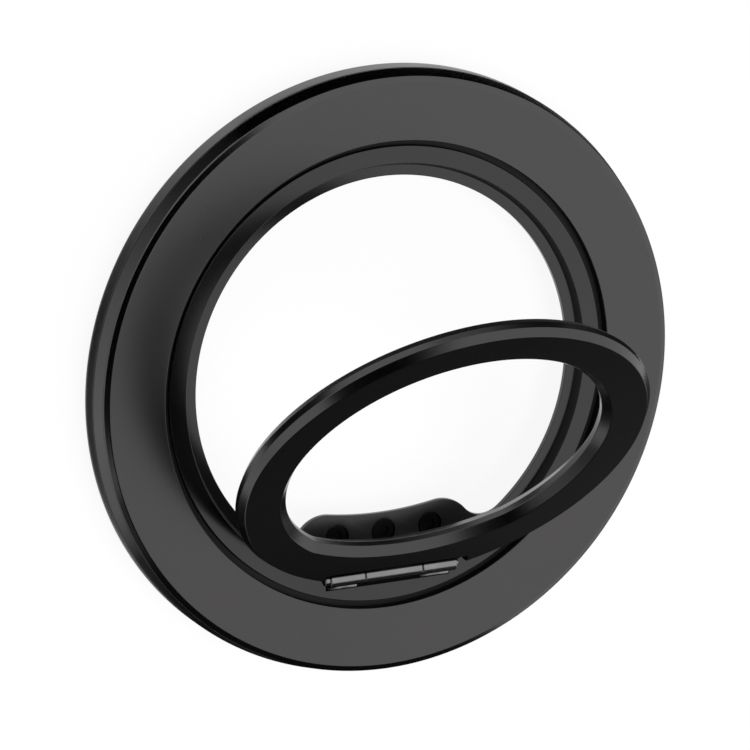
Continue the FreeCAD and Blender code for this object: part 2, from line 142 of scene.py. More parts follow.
class HousingSizes(bpy.types.PropertyGroup):
    """Front shell, rear shell and soft pad."""
    bore: length("Front bore", "Radius of the front shell's opening", 22.5 * MM)
    draft: length("Side lean", "How far the front shell's side leans in", 0.37 * MM)
    edge: length("Front edge", "Shoulder round the front face, across the face", 0.54 * MM)
    edge_drop: length("Front edge drop", "Shoulder round the front face, down the side", 0.28 * MM)
    shoulder: length("Shoulder rounding", "Radius that softens the shoulder", 0.25 * MM)
    plate: length("Front plate", "Thickness of the front face", 0.9 * MM)
    wall: length("Side wall", "Front shell's side wall at the parting line", 0.85 * MM)
    rear_bore: length("Rear bore", "Radius of the rear shell's opening", 21.456 * MM)
    seat: length("Bearing seat", "Height of the carrier's seat above the pad's face", 2.05 * MM)
    floor: length("Tray floor", "Height of the tray's floor above the pad's face", 0.9 * MM)
    rim: length("Parting rim", "Height of the rear shell's rim above the pad's face", 2.14 * MM)
    rear_edge: length("Rear edge", "Chamfer round the back", 0.3 * MM)
    pad_room: length("Pad room", "Gap round the soft pad", 0.1 * MM)


class CarrierSizes(bpy.types.PropertyGroup):
    """Turning carrier with its ledge, pocket, lip and lobed tab."""
    hole: length("Open middle", "Radius of the open middle", 18.9 * MM)
    lip: length("Lip", "Outer radius of the lip under the folded finger ring", 19.9 * MM)
    pocket: length("Pocket", "Radius of the pocket's top edge", 20.25 * MM)
    ledge: length("Ledge", "Outer radius of the visible ledge", 21.9 * MM)
    ledge_fall: length("Ledge fall", "How far the ledge falls to its outer edge", 0.07 * MM)
    lip_thickness: length("Lip thickness", "Thickness of lip and tab", 0.6 * MM)
    wall: length("Pocket wall", "Thickness of the pocket's wall", 0.8 * MM)
    flange_top: length("Flange top", "Height of the flange above the pad's face", 3.1 * MM)
    flange_back: length("Flange back", "Height of the flange's back above the pad's face", 2.3 * MM)
    tab_depth: length("Tab depth", "How far the lobes stand into the open middle", 5.7 * MM)
    lobe_x: length("Lobe offset", "Lobes from the middle plane", 5.9 * MM)
    lobe: length("Lobe radius", "Radius of the lobes", 3.2 * MM)
    dip: length("Tab hollow", "Hollow between the lobes", 0.5 * MM)
    root: length("Tab root", "Radius where the tab runs into the lip", 2.5 * MM)
    screw_pitch: length("Screw pitch", "Distance between the screws", 4.75 * MM)
    screw_inset: length("Screw inset", "Screw row from the open middle's edge", 3.45 * MM)
    counterbore: length("Counterbore", "Radius of the screws' counterbores", 1.2 * MM)
    counterbore_depth: length("Counterbore depth", "Depth of the screws' counterbores", 0.35 * MM)
    window_room: length("Window room", "Clearance of the hinge's posts in the window", 0.15 * MM)


class HingeSizes(bpy.types.PropertyGroup):
    """Knuckles, pin, bracket, leaf and fasteners."""
    barrel: length("Barrel", "Radius of the knuckles", 0.75 * MM)
    middle: length("Middle knuckle", "Half length of the middle knuckle", 2.875 * MM)
    gap: length("Knuckle gap", "Gap between the knuckles", 0.1 * MM)
    side: length("Side knuckle", "Length of a side knuckle", 3.45 * MM)
    bore: length("Knuckle bore", "Radius of the hole for the pin", 0.38 * MM)
    post_inset: length("Post inset", "Posts are shorter than their knuckles", 0.25 * MM)
    post_thickness: length("Post thickness", "Thickness of the posts", 1.15 * MM)
    post_drop: length("Post shoulder", "Posts' shoulder below the front face", 0.25 * MM)
    post_neck: length("Post neck", "Shoulder's inner edge from the hinge axis", 0.95 * MM)
    plate: length("Bracket plate", "Thickness of the bracket's plate", 0.7 * MM)
    pin: length("Pin", "Radius of the pin", 0.35 * MM)
    pin_head: length("Pin head", "Radius of the pin's head", 0.55 * MM)
    leaf_thickness: length("Leaf", "Thickness of the leaf", 0.5 * MM)
    leaf_reach: length("Leaf reach", "Leaf's far end from the hinge axis", 2.75 * MM)
    leaf_heel: length("Leaf heel", "Leaf's near end from the hinge axis", 0.2 * MM)
    leaf_inset: length("Leaf inset", "Leaf narrower than its knuckle, each side", 0.2 * MM)
    screw_head: length("Screw head", "Radius of the screw heads", 1.1 * MM)
    screw_shank: length("Screw shank", "Radius of the screw shanks", 0.6 * MM)
    socket: length("Screw socket", "Corner radius of the hexagon sockets", 0.577 * MM)
    rivet: length("Rivet", "Radius of the rivets", 0.35 * MM)
    rivet_pitch: length("Rivet pitch", "Distance between the rivets", 3.2 * MM)
    rivet_grip: length("Rivet grip", "Rivets' depth in the finger ring", 0.6 * MM)


class FingerRingSizes(bpy.types.PropertyGroup):
    """Folding finger ring."""
    outer: length("Outer radius", "Outer radius of the finger ring", 20.05 * MM)
    width: length("Width", "Radial width of the finger ring", 4.7 * MM)
    thickness: length("Thickness", "Thickness of the finger ring", 2.05 * MM)
    rise: length("Rise", "Folded ring's front above the hinge axis", 0.55 * MM)
    edge_width: length("Outer bevel width", "Outer bevels, across the ring's face", 0.5 * MM)
    edge_depth: length("Outer bevel depth", "Outer bevels, down the ring's side", 0.7 * MM)
    inner_edge: length("Inner bevel", "Chamfers of the ring's hole", 0.75 * MM)
    swell_reach: length("Swelling", "How far the ring is wider inwards at the hinge", 0.85 * MM)
    swell_half: length("Swelling span", "Half the span of that wider part", 9.5 * MM)
    softness: length("Edge softness", "Radius that softens every edge", 0.12 * MM)
    notch_room: length("Notch room", "Room round the knuckles", 0.85 * MM)
    notch_end: length("Notch end room", "Room past the pin's head", 0.35 * MM)


class FinishColours(bpy.types.PropertyGroup):
    """Colours of the finishes."""
    shell: colour("Shell", "Satin black anodised shell", (0.0895, 0.0865, 0.0871))
    carrier: colour("Carrier", "Satin black carrier", (0.061, 0.059, 0.0594))
    tab: colour("Tab", "Blasted black top of the tab", (0.071, 0.069, 0.0695))
    # Groove: painted shade, a near-black colour for the groove, pocket and window walls
    groove: colour("Groove", "Dull black inside groove and pocket", (0.012, 0.012, 0.0122))
    # Bore: painted shade, the shell's black made darker on the front shell's bore wall
    bore: colour("Bore", "Satin black wall round the groove", (0.061, 0.059, 0.0594))
    ring: colour("Finger ring", "Polished black finger ring", (0.0765, 0.074, 0.0745))
    moulding: colour("Moulding", "Moulded rear shell", (0.012, 0.012, 0.0125))
    pad: colour("Pad", "Soft pad", (0.022, 0.022, 0.023))
    steel: colour("Hinge steel", "Satin hinge steel", (0.25, 0.249, 0.247))
    screws: colour("Screws", "Black screws", (0.02, 0.02, 0.021))
    plating: colour("Plating", "Magnet plating", (0.6, 0.59, 0.57))
    yoke: colour("Yoke", "Sheet steel under the magnets", (0.42, 0.42, 0.43))
    slide: colour("Slide ring", "Low-friction plastic", (0.5, 0.5, 0.48))
    floor: colour("Floor", "Pale studio floor", (0.9, 0.9, 0.9))


# Mesh helpers
def softened(corners):
    """Closed outline through (u, v, radius) corners, as (u, v, edge) points.

    Each rounding is marked as an edge and held by a close point on either side.
    """
    out = []
    count = len(corners)
    for i, (u, v, radius) in enumerate(corners):
        here = Vector((u, v))
        if not radius:
            out.append((u, v, 0.0))
            continue
        back = (Vector(corners[i - 1][:2]) - here).normalized()
        ahead = (Vector(corners[(i + 1) % count][:2]) - here).normalized()
        half = back.angle(ahead) / 2
        reach = radius / math.tan(half)
        centre = here + (back + ahead).normalized() * (radius / math.sin(half))
        start = here + back * reach - centre
        turn = math.pi - 2 * half
        if start.cross(here + ahead * reach - centre) < 0:
            turn = -turn
        before = here + back * (reach + ROUNDING_HOLD)
        out.append((before.x, before.y, 0.0))
        for k in range(ROUNDING_STEPS + 1):
            point = centre + Matrix.Rotation(turn * k / ROUNDING_STEPS, 2) @ start
            out.append((point.x, point.y, 1.0))
        after = here + ahead * (reach + ROUNDING_HOLD)
        out.append((after.x, after.y, 0.0))
    return out


def linked(name, data):
    """Object for some data, in the scene."""
    obj = bpy.data.objects.new(name, data)
    bpy.context.scene.collection.objects.link(obj)
    return obj


def meshed(name, bm):
    """Plain mesh of a finished shape."""
    mesh = bpy.data.meshes.new(name)
    bm.to_mesh(mesh)
    bm.free()
    return mesh


def solid(name, bm, place=None):
    """Object with a closed shape, put in place, its normals pointing outwards."""
    if place:
        bmesh.ops.transform(bm, matrix=place, verts=bm.verts)
    bmesh.ops.recalc_face_normals(bm, faces=bm.faces)
    return linked(name, meshed(name, bm))


def turned(name, corners, steps=TURN_STEPS, inward=None):
    """Ring turned about Z from (radius, height, rounding) corners.

    Its inner half is moved inwards by azimuth if asked.
    """
    outline = softened(corners)
    middle = sum(c[0] for c in corners) / len(corners)
    bm = bmesh.new()
    edge = bm.verts.layers.float.new("edge")
    rows = []
    for k in range(steps):
        angle = 2 * math.pi * k / steps
        shift = inward(angle) if inward else 0.0
        row = []
        for r, z, mark in outline:
            reach = r - shift if r < middle else r
            vert = bm.verts.new((reach * math.cos(angle), reach * math.sin(angle), z))
            vert[edge] = mark
            row.append(vert)
        rows.append(row)
    for k in range(steps):
        row, after = rows[k], rows[(k + 1) % steps]
        for i in range(len(outline)):
            j = (i + 1) % len(outline)
            bm.faces.new((row[i], after[i], after[j], row[j]))
    return solid(name, bm)


def turned_solid(name, corners, steps=BAR_STEPS, place=None):
    """Pin turned from (radius, height, rounding) corners that start and end on the axis."""
    bm = bmesh.new()
    edge = bm.verts.layers.float.new("edge")
    rows = []
    for r, z, mark in softened(corners):
        if not r:
            rows.append([bm.verts.new((0, 0, z))])
            continue
        row = []
        for k in range(steps):
            angle = 2 * math.pi * k / steps
            vert = bm.verts.new((r * math.cos(angle), r * math.sin(angle), z))
            vert[edge] = mark
            row.append(vert)
        rows.append(row)
    for low, high in zip(rows, rows[1:]):
        for k in range(steps):
            j = (k + 1) % steps
            if len(low) == 1:
                bm.faces.new((low[0], high[j], high[k]))
            elif len(high) == 1:
                bm.faces.new((low[k], low[j], high[0]))
            else:
                bm.faces.new((low[k], low[j], high[j], high[k]))
    return solid(name, bm, place)


def bar(name, radius, start, end, place, rounding=0.0, steps=BORE_STEPS):
    """Plain round bar from one height to another."""
    corners = [(0, start, 0), (radius, start, rounding), (radius, end, rounding), (0, end, 0)]
    return turned_solid(name, corners, steps, place)


def prism(name, outline, low, high, place=None):
    """Flat outline of (x, y) points drawn up from low to high."""
    bm = bmesh.new()
    bottom = [bm.verts.new((x, y, low)) for x, y in outline]
    top = [bm.verts.new((x, y, high)) for x, y in outline]
    bm.faces.new(bottom[::-1])
    bm.faces.new(top)
    for i in range(len(outline)):
        j = (i + 1) % len(outline)
        bm.faces.new((bottom[i], bottom[j], top[j], top[i]))
    return solid(name, bm, place)


def block(name, low, high):
    """Square block between two corners."""
    outline = [(low[0], low[1]), (high[0], low[1]), (high[0], high[1]), (low[0], high[1])]
    return prism(name, outline, low[2], high[2])


def across(name, section, start, end):
    """Section of (y, z) points drawn along X."""
    return prism(name, section, start, end, Z_ALONG_X)


def settle(obj):
    """Makes the modifiers' result the object's own mesh."""
    graph = bpy.context.evaluated_depsgraph_get()
    graph.update()
    mesh = bpy.data.meshes.new_from_object(obj.evaluated_get(graph))
    old = obj.data
    obj.modifiers.clear()
    obj.data = mesh
    mesh.name = obj.name
    bpy.data.meshes.remove(old)


def combine(obj, other, operation):
    """Joins the other shape to the object, or cuts it away, and drops the other shape."""
    tool = obj.modifiers.new("combine", "BOOLEAN")
    tool.operation = operation
    tool.solver = "EXACT"
    tool.object = other
    settle(obj)
    mesh = other.data
    bpy.data.objects.remove(other)
    bpy.data.meshes.remove(mesh)


def bevelled(obj, width, segments=2, angle=40):
    """Softens the object's sharp edges."""
    tool = obj.modifiers.new("soft edges", "BEVEL")
    tool.width = width
    tool.segments = segments
    tool.limit_method = "ANGLE"
    tool.angle_limit = math.radians(angle)
    settle(obj)


def dress(obj, material, body, node):
    """Finishes a piece: material, shading and the body that it rides on, and hides the CAD node that it
    stands for.
    """
    mesh = obj.data
    mesh.materials.clear()
    mesh.materials.append(material)
    mesh.polygons.foreach_set("use_smooth", [True] * len(mesh.polygons))
    mesh.set_sharp_from_angle(angle=SHARP_ANGLE)
    mesh.update()
    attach(obj, body)
    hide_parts(node)


def refinish(obj, material, chosen):
    """Second finish on the faces that a test chooses."""
    obj.data.materials.append(material)
    for face in obj.data.polygons:
        if chosen(face):
            face.material_index = len(obj.data.materials) - 1


def refinish_band(obj, material, inner, outer, low, high):
    """Second finish on the faces that lie between two radii and two heights."""
    def chosen(face):
        return inner < face.center.xy.length < outer and low < face.center.z < high

    refinish(obj, material, chosen)


def refinish_opening(obj, material, low, high):
    """Second finish on the walls of a square opening, but not on the faces that it opens into."""
    def chosen(face):
        inside = all(a - WALL_SKIN < c < b + WALL_SKIN for a, b, c in zip(low, high, face.center))
        return inside and abs(face.normal.z) < UPRIGHT

    refinish(obj, material, chosen)


def refinish_node(name, material):
    """Gives a CAD node its finish."""
    for slot in frame["nodes"][name].material_slots:
        slot.material = material


# Node helpers
def add(tree, kind, inputs=None, **settings):
    """New node with its settings. An input that is given a socket is linked, and any other is set."""
    node = tree.nodes.new(kind)
    for key, value in settings.items():
        setattr(node, key, value)
    for key, value in (inputs or {}).items():
        if isinstance(value, bpy.types.NodeSocket):
            tree.links.new(value, node.inputs[key])
        else:
            node.inputs[key].default_value = value
    return node


def maths(tree, operation, first, second):
    """Output of a math node with two inputs."""
    return add(tree, "ShaderNodeMath", {0: first, 1: second}, operation=operation).outputs["Value"]


def group_socket(group, name, kind, way):
    """One named socket of a group."""
    group.interface.new_socket(name=name, in_out=way, socket_type=kind)


def emptied(owner):
    """Node tree of a new material or world, without its first nodes."""
    owner.use_nodes = True
    owner.node_tree.nodes.clear()
    return owner.node_tree


# Finishes
class Finish(NamedTuple):
    """Numbers of one finish: its colour's name in FinishColours, and the grain's height in metres."""
    colour: str
    metallic: float
    roughness: float
    roughness_spread: float
    grain_scale: float
    grain_height: float
    wear: float = 0.3
    specular: float = 0.5


FINISHES = {
    "satin_black_anodised": Finish("shell", 1.0, 0.28, 0.04, 12000.0, 1.2e-6, wear=0.15),
    "polished_black_rim": Finish("shell", 1.0, 0.18, 0.04, 12000.0, 0.8e-6, wear=0.15),
    # Painted shade: the shell's bore wall gets a darker, rougher black than its face
    "satin_black_bore": Finish("bore", 1.0, 0.4, 0.06, 9000.0, 1.5e-6, wear=0.0),
    "moulded_black": Finish("moulding", 0.0, 0.28, 0.05, 9000.0, 2.0e-6, wear=0.1, specular=0.8),
    "soft_grip": Finish("pad", 0.0, 0.62, 0.08, 5000.0, 12.0e-6, wear=0.0, specular=0.35),
    "nickel_plating": Finish("plating", 1.0, 0.3, 0.06, 8000.0, 1.0e-6),
    "sheet_steel": Finish("yoke", 1.0, 0.4, 0.06, 8000.0, 1.5e-6),
    "slide_resin": Finish("slide", 0.0, 0.4, 0.06, 8000.0, 2.0e-6),
    "satin_black_turned": Finish("carrier", 1.0, 0.17, 0.04, 12000.0, 1.2e-6, wear=0.15),
    # Painted shade: near-black with little gloss in the groove, pocket and window, where the shade falls
    "dull_black_groove": Finish("groove", 0.0, 0.7, 0.08, 9000.0, 2.0e-6, wear=0.0, specular=0.2),
    "blasted_black_tab": Finish("tab", 1.0, 0.38, 0.05, 9000.0, 1.5e-6, wear=0.0),
    "satin_steel": Finish("steel", 1.0, 0.22, 0.05, 11000.0, 1.0e-6, wear=0.2),
    "black_oxide": Finish("screws", 1.0, 0.38, 0.06, 11000.0, 1.5e-6, wear=0.2),
    "polished_black": Finish("ring", 1.0, 0.22, 0.04, 14000.0, 0.6e-6, wear=0.15),
}

# Tone of a surface, as a share of its colour: under smudges, between them, and where edges are rubbed
SMUDGE_DARK = 0.93
SMUDGE_PALE = 1.07
RUBBED = 1.8


def surface_group():
    """Fine grain, soft smudges and worn edges, as a height, a smudge mask and a wear mask."""
    name = "surface_marks"
    if name in bpy.data.node_groups:
        return bpy.data.node_groups[name]
    group = bpy.data.node_groups.new(name, "ShaderNodeTree")
    for entry in ("Grain Scale", "Wear"):
        group_socket(group, entry, "NodeSocketFloat", "INPUT")
    for output in ("Grain", "Smudge", "Worn"):
        group_socket(group, output, "NodeSocketFloat", "OUTPUT")
    inlet = add(group, "NodeGroupInput").outputs
    place = add(group, "ShaderNodeTexCoord").outputs["Object"]
    grain = add(group, "ShaderNodeTexNoise", {
        "Vector": place, "Scale": inlet["Grain Scale"], "Detail": 2.0,
    })
    smudge = add(group, "ShaderNodeTexNoise", {
        "Vector": place, "Scale": 90.0, "Detail": 4.0, "Roughness": 0.6,
    })
    rub = add(group, "ShaderNodeTexNoise", {"Vector": place, "Scale": 420.0, "Detail": 5.0})
    patches = add(group, "ShaderNodeMapRange", {
        "Value": rub.outputs["Fac"], "From Min": 0.48, "From Max": 0.72,
    })
    edge = add(group, "ShaderNodeAttribute", attribute_name="edge")
    rubbed = maths(group, "MULTIPLY", patches.outputs["Result"], edge.outputs["Fac"])
    worn = maths(group, "MULTIPLY", rubbed, inlet["Wear"])
    add(group, "NodeGroupOutput", {
        "Grain": grain.outputs["Fac"], "Smudge": smudge.outputs["Fac"], "Worn": worn,
    })
    return group


def toned(base, share):
    """A lighter or darker form of a colour, with full alpha."""
    return (*[min(1.0, c * share) for c in base], 1.0)


def finish(name):
    """Material of a finish: grain in its bump, smudges in its roughness and tone, and rubbed edges."""
    material = bpy.data.materials.get(name)
    if material:
        return material
    look = FINISHES[name]
    base = getattr(bpy.context.scene.ringmount_finishes, look.colour)
    material = bpy.data.materials.new(name)
    material.use_nodes = True
    material.diffuse_color = (*base, 1.0)
    tree = material.node_tree
    marks = add(tree, "ShaderNodeGroup", {
        "Grain Scale": look.grain_scale, "Wear": look.wear,
    }, node_tree=surface_group()).outputs
    tone = add(tree, "ShaderNodeMix", {
        "Factor": marks["Smudge"], "A": toned(base, SMUDGE_DARK), "B": toned(base, SMUDGE_PALE),
    }, data_type="RGBA")
    rubbed = add(tree, "ShaderNodeMix", {
        "Factor": marks["Worn"], "A": tone.outputs["Result"], "B": toned(base, RUBBED),
    }, data_type="RGBA")
    gloss = add(tree, "ShaderNodeMapRange", {
        "Value": marks["Smudge"],
        "To Min": look.roughness - look.roughness_spread,
        "To Max": look.roughness + look.roughness_spread,
    })
    bump = add(tree, "ShaderNodeBump", {
        "Height": marks["Grain"], "Strength": 1.0, "Distance": look.grain_height,
    })
    shader = tree.nodes["Principled BSDF"]
    shader.inputs["Metallic"].default_value = look.metallic
    shader.inputs["Specular IOR Level"].default_value = look.specular
    tree.links.new(rubbed.outputs["Result"], shader.inputs["Base Color"])
    tree.links.new(gloss.outputs["Result"], shader.inputs["Roughness"])
    tree.links.new(bump.outputs["Normal"], shader.inputs["Normal"])
    return material


# Pieces
class RINGMOUNT_OT_housing(bpy.types.Operator):
    """Front shell and rear shell, turned with soft edges"""
    bl_idname = "ringmount.housing"
    bl_label = "Housing"

    def execute(self, context):
        s = context.scene.ringmount_housing
        outer, face, parting = SHELL_HIGH[0], SHELL_HIGH[2], SHELL_LOW[2]
        plate = face - s.plate
        inner = outer - s.wall
        flat = outer - s.draft - s.edge
        front = turned("front_shell_fine", [
            (s.bore, plate, 0),
            (s.bore, face, FINE_EDGE),
            (flat, face, s.shoulder),
            (outer - s.draft, face - s.edge_drop, s.shoulder),
            (outer, parting, FINE_EDGE),
            (inner, parting, 0),
            (inner, plate, 0),
        ])
        dress(front, finish("satin_black_anodised"), "magnet_base", "front_shell")
        polished, bore_shade = finish("polished_black_rim"), finish("satin_black_bore")
        refinish_band(front, polished, flat - RIM_MARGIN, outer, parting, face - FLAT_SKIN)
        # Painted shade: darker, rougher black on the front shell's bore wall
        refinish_band(front, bore_shade, 0.0, s.bore + WALL_SKIN, plate, face - FINE_EDGE)
        back, top, recess = REAR_LOW[2], REAR_HIGH[2], PAD_HIGH[2]
        pad_in = FLANGE_ROOM - s.pad_room
        pad_out = PAD_HIGH[0] + s.pad_room
        tongue = inner - CLOSE_FIT
        tongue_top = s.rim + TONGUE_HEIGHT
        tray = tongue - TONGUE_WALL
        boss = FLANGE_ROOM + BOSS_WALL
        rear = turned("rear_shell_fine", [
            (s.rear_bore, s.seat, 0),
            (s.rear_bore, back, ROUND_EDGE),
            (pad_in, back, PAD_SEAT_EDGE),
            (pad_in, recess, 0),
            (pad_out, recess, 0),
            (pad_out, back, PAD_SEAT_EDGE),
            (outer - s.rear_edge, back, FULL_EDGE),
            (outer, back + s.rear_edge, FULL_EDGE),
            (outer, s.rim, FINE_EDGE),
            (tongue, s.rim, 0),
            (tongue, tongue_top, 0),
            (tray, tongue_top, 0),
            (tray, s.floor, 0),
            (boss, s.floor, 0),
            (boss, top, 0),
            (FLANGE_ROOM, top, 0),
            (FLANGE_ROOM, s.seat, 0),
        ])
        dress(rear, finish("moulded_black"), "magnet_base", "rear_shell")
        return {"FINISHED"}


class RINGMOUNT_OT_pad(bpy.types.Operator):
    """Soft ring that meets the phone, with rounded edges"""
    bl_idname = "ringmount.pad"
    bl_label = "Soft Pad"

    def execute(self, context):
        pad = turned("phone_pad_soft", [
            (FLANGE_ROOM, PAD_HIGH[2], 0),
            (FLANGE_ROOM, PAD_LOW[2], FULL_EDGE),
            (PAD_HIGH[0], PAD_LOW[2], FULL_EDGE),
            (PAD_HIGH[0], PAD_HIGH[2], 0),
        ])
        dress(pad, finish("soft_grip"), "magnet_base", "phone_pad")
        return {"FINISHED"}


class RINGMOUNT_OT_magnets(bpy.types.Operator):
    """Finishes of the hidden magnets, yoke and slide ring"""
    bl_idname = "ringmount.magnets"
    bl_label = "Magnets and Yoke"

    def execute(self, context):
        for name in frame["nodes"]:
            if name.startswith("magnet_"):
                refinish_node(name, finish("nickel_plating"))
        refinish_node("yoke_ring", finish("sheet_steel"))
        refinish_node("slide_ring", finish("slide_resin"))
        return {"FINISHED"}


def arc(centre, radius, start, end, count):
    """Points of the short arc about a centre from one point to another, without its end."""
    first = math.atan2(start.y - centre.y, start.x - centre.x)
    turn = math.atan2(end.y - centre.y, end.x - centre.x) - first
    turn = (turn + math.pi) % (2 * math.pi) - math.pi
    angles = [first + turn * k / count for k in range(count)]
    return [centre + Vector((math.cos(a), math.sin(a))) * radius for a in angles]


def tab_outline(s):
    """Two lobes with a hollow between them, blended into the open middle's edge."""
    lobe = Vector((s.lobe_x, -(s.hole - s.tab_depth + s.lobe)))
    fall = s.lobe - s.dip
    hollow_radius = (s.lobe_x ** 2 + fall ** 2 - s.lobe ** 2) / (2 * s.dip)
    hollow = Vector((0.0, lobe.y + fall + hollow_radius))
    # Centre of the root's rounding, which meets the open middle's edge and the lobe
    near, far = s.hole - s.root, s.lobe + s.root
    along = (near ** 2 - far ** 2 + lobe.length ** 2) / (2 * lobe.length)
    off = math.sqrt(near ** 2 - along ** 2)
    way = lobe.normalized()
    root = way * along + Vector((-way.y, way.x)) * off
    # Where the arcs meet, and a point under the lip from which the outline starts
    hollow_end = lobe + (hollow - lobe).normalized() * s.lobe
    lobe_end = lobe + (root - lobe).normalized() * s.lobe
    edge_end = root.normalized() * s.hole
    under = root.normalized() * (s.hole + (s.lip - s.hole) / 2)
    flip = Matrix(((-1, 0), (0, 1)))
    right = arc(root, s.root, edge_end, lobe_end, ROOT_POINTS)
    right += arc(lobe, s.lobe, lobe_end, hollow_end, LOBE_POINTS)
    middle = arc(hollow, hollow_radius, hollow_end, flip @ hollow_end, LOBE_POINTS)
    left = [flip @ p for p in reversed(right[1:])] + [flip @ edge_end]
    closing = arc(Vector((0, 0)), under.length, flip @ under, under, CLOSING_POINTS)
    return [tuple(p) for p in [under] + right + middle + left + closing]


class RINGMOUNT_OT_carrier(bpy.types.Operator):
    """Turning carrier: ledge, pocket, lip, lobed tab and the hinge's window"""
    bl_idname = "ringmount.carrier"
    bl_label = "Carrier"

    def execute(self, context):
        s = context.scene.ringmount_carrier
        h = context.scene.ringmount_hinge
        back, ledge, flange = CARRIER_LOW[2], CARRIER_HIGH[2], CARRIER_HIGH[0]
        ledge_edge = ledge - s.ledge_fall
        lip = back + s.lip_thickness
        carrier = turned("carrier_fine", [
            (s.ledge, ledge_edge, SOFT_EDGE),
            (s.pocket, ledge, CRISP_EDGE),
            (s.lip, lip, 0),
            (s.hole, lip, CRISP_EDGE),
            (s.hole, back, ROUND_EDGE),
            (s.lip + s.wall, back, 0),
            (s.lip + s.wall, s.flange_back, 0),
            (flange, s.flange_back, 0),
            (flange, s.flange_top, 0),
            (s.ledge, s.flange_top, 0),
        ])
        tab = prism("carrier_tab", tab_outline(s), back, lip)
        bevelled(tab, SOFT_EDGE, segments=3, angle=50)
        combine(carrier, tab, "UNION")
        post = BRACKET_HIGH[0] - h.post_inset + s.window_room
        front = BRACKET_LOW[1] - s.window_room
        rear = BRACKET_LOW[1] + h.post_thickness + s.window_room
        window = block("window", (-post, front, back - OVERCUT), (post, rear, ledge + OVERCUT))
        combine(carrier, window, "DIFFERENCE")
        for k in (-1, 0, 1):
            place = Matrix.Translation((k * s.screw_pitch, -(s.hole - s.screw_inset), 0))
            well = bar("counterbore", s.counterbore, lip + OVERCUT, lip - s.counterbore_depth, place)
            combine(carrier, well, "DIFFERENCE")
        dress(carrier, finish("satin_black_turned"), "carrier", "carrier_ring")
        groove_shade, blasted = finish("dull_black_groove"), finish("blasted_black_tab")
        # Painted shade: the near-black finish goes on the groove wall, the pocket wall and the window's
        # walls
        refinish_band(carrier, groove_shade, s.ledge - SKIN, flange, s.flange_top - SKIN, ledge_edge - SOFT_EDGE)
        refinish_band(carrier, groove_shade, s.lip + SKIN, s.pocket, lip + WALL_SKIN, ledge - POCKET_SKIN)
        refinish_opening(carrier, groove_shade, (-post, front, back), (post, rear, ledge))
        refinish_band(carrier, blasted, 0.0, s.hole - TAB_MARGIN, lip - SKIN, ledge)
        return {"FINISHED"}


class RINGMOUNT_OT_hinge(bpy.types.Operator):
    """Bracket with its two side knuckles, and the pin through all three"""
    bl_idname = "ringmount.hinge"
    bl_label = "Hinge Bracket and Pin"

    def execute(self, context):
        s = context.scene.ringmount_hinge
        c = context.scene.ringmount_carrier
        steel = finish("satin_steel")
        outer_y, far_y, back = BRACKET_LOW[1], BRACKET_HIGH[1], BRACKET_LOW[2]
        side_start = s.middle + s.gap
        side_end = side_start + s.side
        post_start, post_end = side_start + s.post_inset, side_end - s.post_inset
        inner_y = outer_y + s.post_thickness
        shoulder = SHELL_HIGH[2] - s.post_drop
        lip = CARRIER_LOW[2] + c.lip_thickness
        y, z = HINGE_POINT.y, HINGE_POINT.z
        section = [
            (outer_y, back), (inner_y, back), (inner_y, lip), (y, z - s.barrel), (y, z),
            (y - s.barrel, z), (y - s.post_neck, shoulder), (outer_y, shoulder),
        ]
        low, high = (-post_end, outer_y, back), (post_end, far_y, back + s.plate)
        bracket = block("hinge_bracket_fine", low, high)
        bevelled(bracket, FINE_EDGE)
        for side in (-1, 1):
            start, end = sorted((side * post_start, side * post_end))
            post = across("post", section, start, end)
            bevelled(post, CRISP_EDGE)
            combine(bracket, post, "UNION")
            start, end = sorted((side * side_start, side * side_end))
            knuckle = bar("knuckle", s.barrel, start, end, ON_HINGE, KNUCKLE_EDGE, BAR_STEPS)
            combine(bracket, knuckle, "UNION")
        bore = bar("bore", s.bore, -side_end - OVERCUT, side_end + OVERCUT, ON_HINGE)
        combine(bracket, bore, "DIFFERENCE")
        dress(bracket, steel, "carrier", "hinge_bracket")
        head, tail = PIN_LOW[0], PIN_HIGH[0]
        pin = turned_solid("hinge_pin_fine", [
            (0, head, 0), (s.pin_head, head, DOMED_EDGE), (s.pin_head, -side_end, UNDERCUT_EDGE),
            (s.pin, -side_end, 0), (s.pin, tail, SOFT_EDGE), (0, tail, 0),
        ], place=ON_HINGE)
        dress(pin, steel, "carrier", "hinge_pin")
        return {"FINISHED"}


def row_tree():
    """Geometry nodes that set copies of a fastener in a row along X."""
    name = "fastener_row"
    if name in bpy.data.node_groups:
        return bpy.data.node_groups[name]
    tree = bpy.data.node_groups.new(name, "GeometryNodeTree")
    group_socket(tree, "Fastener", "NodeSocketGeometry", "INPUT")
    group_socket(tree, "Count", "NodeSocketInt", "INPUT")
    group_socket(tree, "Pitch", "NodeSocketFloat", "INPUT")
    group_socket(tree, "Start", "NodeSocketVector", "INPUT")
    group_socket(tree, "Finish", "NodeSocketMaterial", "INPUT")
    group_socket(tree, "Row", "NodeSocketGeometry", "OUTPUT")
    inlet = add(tree, "NodeGroupInput").outputs
    step = add(tree, "ShaderNodeCombineXYZ", {"X": inlet["Pitch"]})
    line = add(tree, "GeometryNodeMeshLine", {
        "Count": inlet["Count"], "Start Location": inlet["Start"], "Offset": step.outputs["Vector"],
    })
    copies = add(tree, "GeometryNodeInstanceOnPoints", {
        "Points": line.outputs["Mesh"], "Instance": inlet["Fastener"],
    })
    real = add(tree, "GeometryNodeRealizeInstances", {"Geometry": copies.outputs["Instances"]})
    coat = add(tree, "GeometryNodeSetMaterial", {
        "Geometry": real.outputs["Geometry"], "Material": inlet["Finish"],
    })
    add(tree, "NodeGroupOutput", {"Row": coat.outputs["Geometry"]})
    return tree


